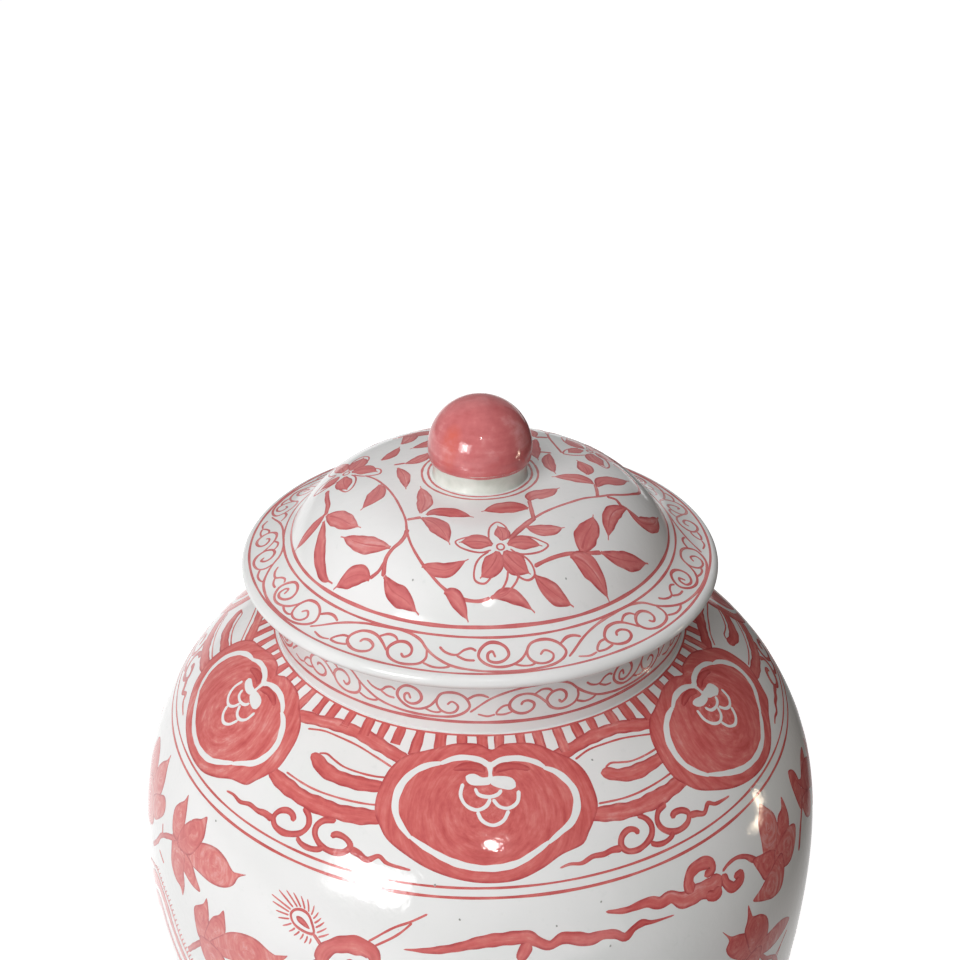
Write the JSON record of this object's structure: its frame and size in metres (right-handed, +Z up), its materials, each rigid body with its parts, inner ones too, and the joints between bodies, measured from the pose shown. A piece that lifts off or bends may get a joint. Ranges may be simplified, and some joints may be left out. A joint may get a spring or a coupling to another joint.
{
  "type": "ginger jar",
  "caption": "Lidded porcelain jar with a wide shoulder, short neck and foot ring, and a domed lid with a locating flange and ball finial that lifts off.",
  "frame": {"origin": "centre of the foot ring's resting plane, on the jar's axis", "axes": "+Z up along the jar's axis of symmetry; +X to the right and -Y towards a person looking at the front"},
  "size_m": [0.32, 0.32, 0.4268],
  "materials": {
    "jar_glaze": "glossy cool white porcelain glaze with a faint grey-green cast",
    "lid_glaze": "glossy cool white porcelain glaze with a faint grey-green cast",
    "coral_enamel": "glossy brushed coral red enamel on porcelain",
    "bare_clay": "matt unglazed porcelain, slightly sandy"
  },
  "bodies": {
    "jar": {"foot_ring": "bare_clay", "jar_lower_section": "jar_glaze", "jar_shoulder_section": "jar_glaze", "jar_neck": "jar_glaze"},
    "lid": {"lid_shell": "lid_glaze", "lid_locating_flange": "bare_clay", "finial_collar": "lid_glaze", "finial_ball": "coral_enamel"}
  },
  "joints": [
    {"name": "lid_lift", "type": "slide", "parent": "jar", "child": "lid", "axis": [0, 0, 1], "range_m": [0, 0.16]}
  ]
}
